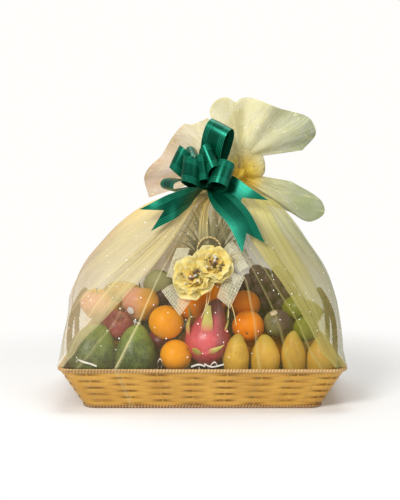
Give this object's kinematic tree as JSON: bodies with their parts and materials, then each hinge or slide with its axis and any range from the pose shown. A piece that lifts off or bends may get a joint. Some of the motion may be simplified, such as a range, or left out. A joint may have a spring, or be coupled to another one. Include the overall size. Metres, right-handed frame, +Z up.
{
  "type": "gift hamper",
  "caption": "Fruit gift hamper: a woven tray basket filled with fresh fruit under a sheer net wrap, gathered above it and tied with a ribbon bow.",
  "frame": {"origin": "on the ground, under the middle of the basket", "axes": "+Z up, +X to the right of the front, -Y to the front"},
  "size_m": [0.6236, 0.4196, 0.676],
  "materials": {
    "cane": "split cane weave, satin, golden brown with darker dashes",
    "net": "sheer pale yellow net with small white dots, over fruit",
    "ribbon": "glossy dark green ribbon with fine lines along its edges"
  },
  "bodies": {
    "root": {"basket": "cane", "wrap": "net", "bow": "ribbon"}
  },
  "joints": []
}
